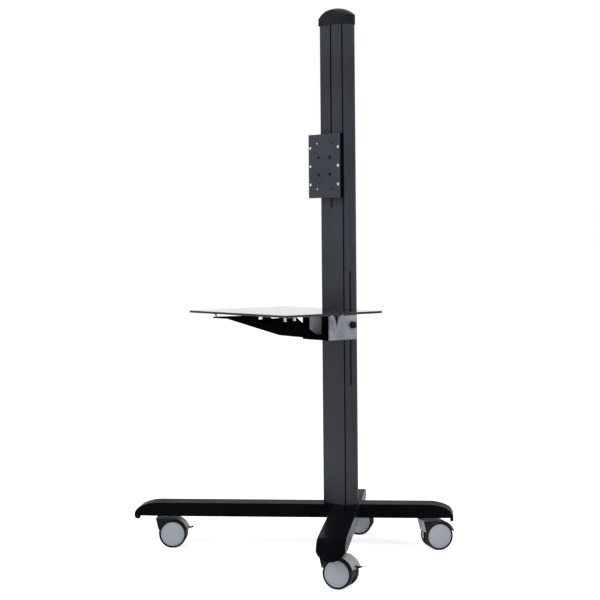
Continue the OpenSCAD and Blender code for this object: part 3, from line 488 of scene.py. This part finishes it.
def makeLeverRibs(name):
    # Three low ribs across the pedal, where a toe presses it
    bm = bmesh.new()
    for i in range(leverRibs["count"]):
        rib = bmesh.ops.create_cube(bm, size=mm)["verts"]
        bmesh.ops.scale(bm, vec=(leverRibs["width"], leverRibs["length"], leverRibs["height"]), verts=rib)
        middle = Vector((leverRibs["first"] + i * leverRibs["step"], 0, leverRibs["top"]))
        bmesh.ops.translate(bm, vec=middle * mm, verts=rib)
    bmesh.ops.bevel(bm, geom=bm.edges[:], offset=leverRibs["round"] * mm, segments=2, profile=0.5,
                    affect="EDGES", material=-1)
    slope = Matrix.Rotation(math.radians(-leverRibs["up"]), 4, "Y")
    bmesh.ops.transform(bm, matrix=jointPlace(name + "_brake") @ slope, verts=bm.verts)
    piece = finishPiece(pieceName(name, "LeverRibs"), bm, "blackNylon")
    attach(piece, bodyOfNode[name + "_brake_lever"])


makeLeverRibs("front_left")
makeLeverRibs("front_right")
print("lever ribs made")


# Studio

camera = {
    # metres from the column's foot, degrees, and mm on a 36 mm sensor
    "fromColumn": (4.5915, -3.9535, 1.15765), "heading": 50.617, "roll": -0.47, "lens": 100.98,
    "sensor": 36.0, "shift": -0.1207, "farEnd": 100,
}
studio = {"world": 0.62, "floorSize": 60.0, "floorWhite": 0.86, "floorGlow": 0.55}
lamps = [
    # name, place, target, size, watts
    ("keyLamp", (0.5, -5.5, 4.2), (0, 0, 0.9), 3.0, 270),
    ("fillLamp", (5.5, 0.5, 3.4), (0, 0, 0.9), 3.0, 190),
]


def plainRaysOnly(tree):
    # 1 where a camera, mirror or glass ray looks, so these all see the same white studio
    path = addNode(tree, "ShaderNodeLightPath")
    either = addNode(tree, "ShaderNodeMath", {"operation": "MAXIMUM"},
                     {0: (path, "Is Camera Ray"), 1: (path, "Is Glossy Ray")})
    return addNode(tree, "ShaderNodeMath", {"operation": "MAXIMUM"},
                   {0: (either, "Value"), 1: (path, "Is Transmission Ray")})


def makeStudio():
    world = bpy.data.worlds.new("whiteStudio")
    bpy.context.scene.world = world
    world.use_nodes = True
    tree = world.node_tree
    tree.nodes.clear()
    seen = plainRaysOnly(tree)
    strength = addNode(tree, "ShaderNodeMapRange", {"To Min": studio["world"], "To Max": 1.0},
                       {"Value": (seen, "Value")})
    sky = addNode(tree, "ShaderNodeBackground", {"Color": (1, 1, 1, 1)}, {"Strength": (strength, "Result")})
    addNode(tree, "ShaderNodeOutputWorld", links={"Surface": (sky, "Background")})

    bm = bmesh.new()
    bmesh.ops.create_grid(bm, x_segments=1, y_segments=1, size=studio["floorSize"])
    mesh = bpy.data.meshes.new("studioFloor")
    bm.to_mesh(mesh)
    bm.free()
    floor = bpy.data.objects.new("studioFloor", mesh)
    bpy.context.scene.collection.objects.link(floor)
    material = bpy.data.materials.new("white paper floor")
    material.use_nodes = True
    tree = material.node_tree
    tree.nodes.clear()
    seen = plainRaysOnly(tree)
    white = (studio["floorWhite"],) * 3 + (1,)
    paper = addNode(tree, "ShaderNodeBsdfDiffuse", {"Color": white})
    glow = addNode(tree, "ShaderNodeMath", {"operation": "MULTIPLY"}, {0: (seen, "Value")})
    glow.inputs[1].default_value = studio["floorGlow"]
    light = addNode(tree, "ShaderNodeEmission", {"Color": (1, 1, 1, 1)}, {"Strength": (glow, "Value")})
    both = addNode(tree, "ShaderNodeAddShader", links={0: (paper, "BSDF"), 1: (light, "Emission")})
    addNode(tree, "ShaderNodeOutputMaterial", links={"Surface": (both, "Shader")})
    mesh.materials.append(material)

    for name, place, target, size, watts in lamps:
        data = bpy.data.lights.new(name, "AREA")
        data.size = size
        data.energy = watts
        lamp = bpy.data.objects.new(name, data)
        lamp.location = place
        lamp.rotation_euler = (Vector(target) - Vector(place)).to_track_quat("-Z", "Y").to_euler()
        bpy.context.scene.collection.objects.link(lamp)


def makeCamera():
    data = bpy.data.cameras.new("photoCamera")
    data.lens = camera["lens"]
    data.sensor_width = camera["sensor"]
    data.shift_y = camera["shift"]
    data.clip_end = camera["farEnd"]
    eye = bpy.data.objects.new("photoCamera", data)
    turn = (Matrix.Rotation(math.radians(camera["heading"]), 4, "Z") @ Matrix.Rotation(math.pi / 2, 4, "X")
            @ Matrix.Rotation(math.radians(camera["roll"]), 4, "Z"))
    eye.matrix_world = Matrix.Translation(columnFoot + Vector(camera["fromColumn"])) @ turn
    bpy.context.scene.collection.objects.link(eye)
    bpy.context.scene.camera = eye


makeStudio()
makeCamera()
bpy.context.scene.view_settings.view_transform = "Standard"
print("studio and camera made")
